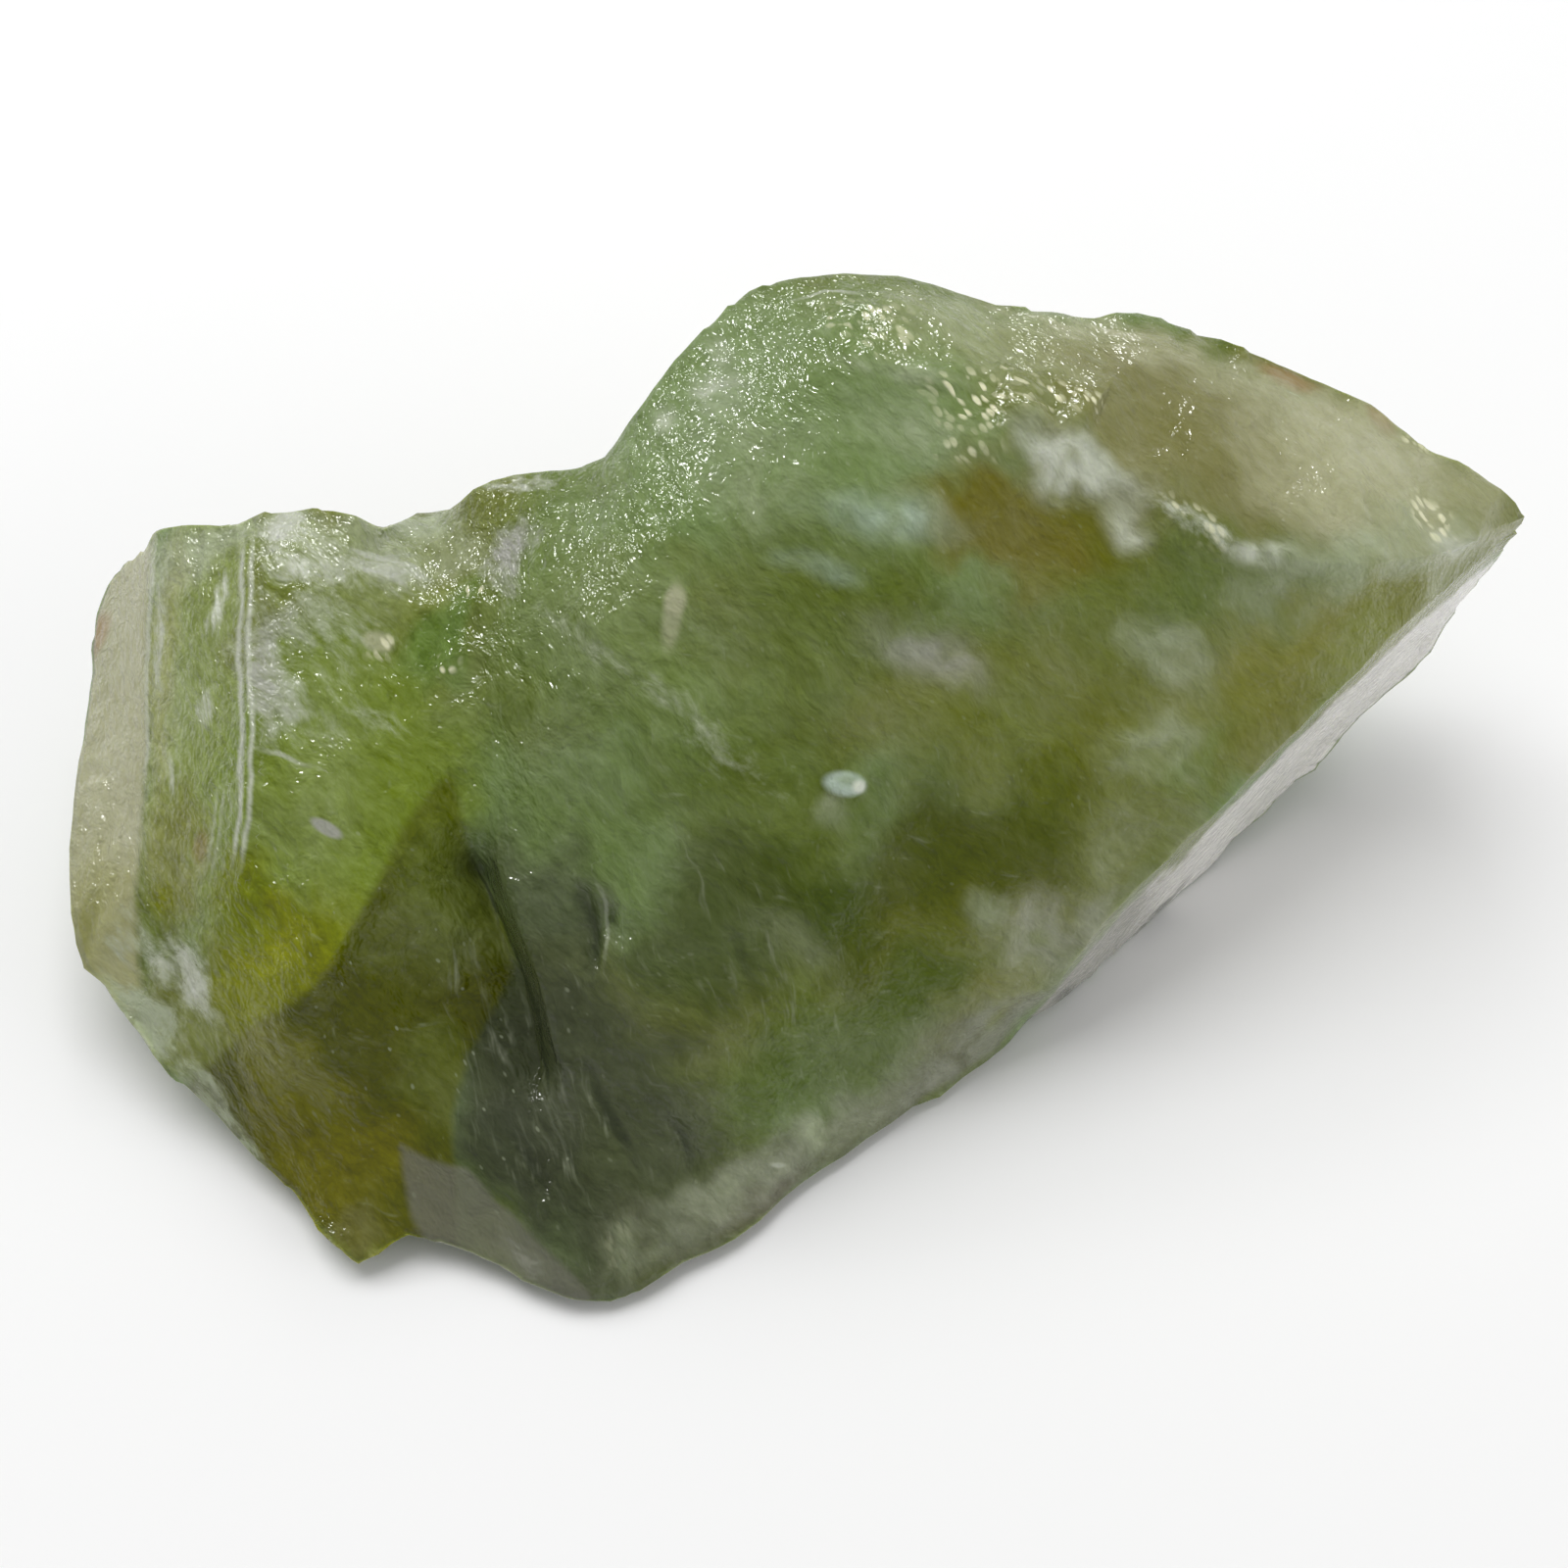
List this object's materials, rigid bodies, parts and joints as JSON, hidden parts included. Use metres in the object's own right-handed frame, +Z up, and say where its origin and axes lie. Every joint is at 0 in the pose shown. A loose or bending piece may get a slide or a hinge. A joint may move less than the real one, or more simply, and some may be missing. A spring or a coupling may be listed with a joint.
{
  "type": "green calcite rough chunk",
  "caption": "Free-standing rough chunk of translucent green calcite, two lobes with a valley between them and one smooth undercut cleavage wall, on a flat underside.",
  "frame": {"origin": "on the surface it rests on, under the middle of its bounding box", "axes": "+Z up, +X along the stone's length towards the wedge's tip, -Y towards the broad sloping face"},
  "size_m": [0.0774, 0.048, 0.0299],
  "materials": {
    "calcite": "waxy, translucent, mottled green to olive with milky white veils"
  },
  "bodies": {
    "root": {"calcite_chunk": "calcite"}
  },
  "joints": []
}
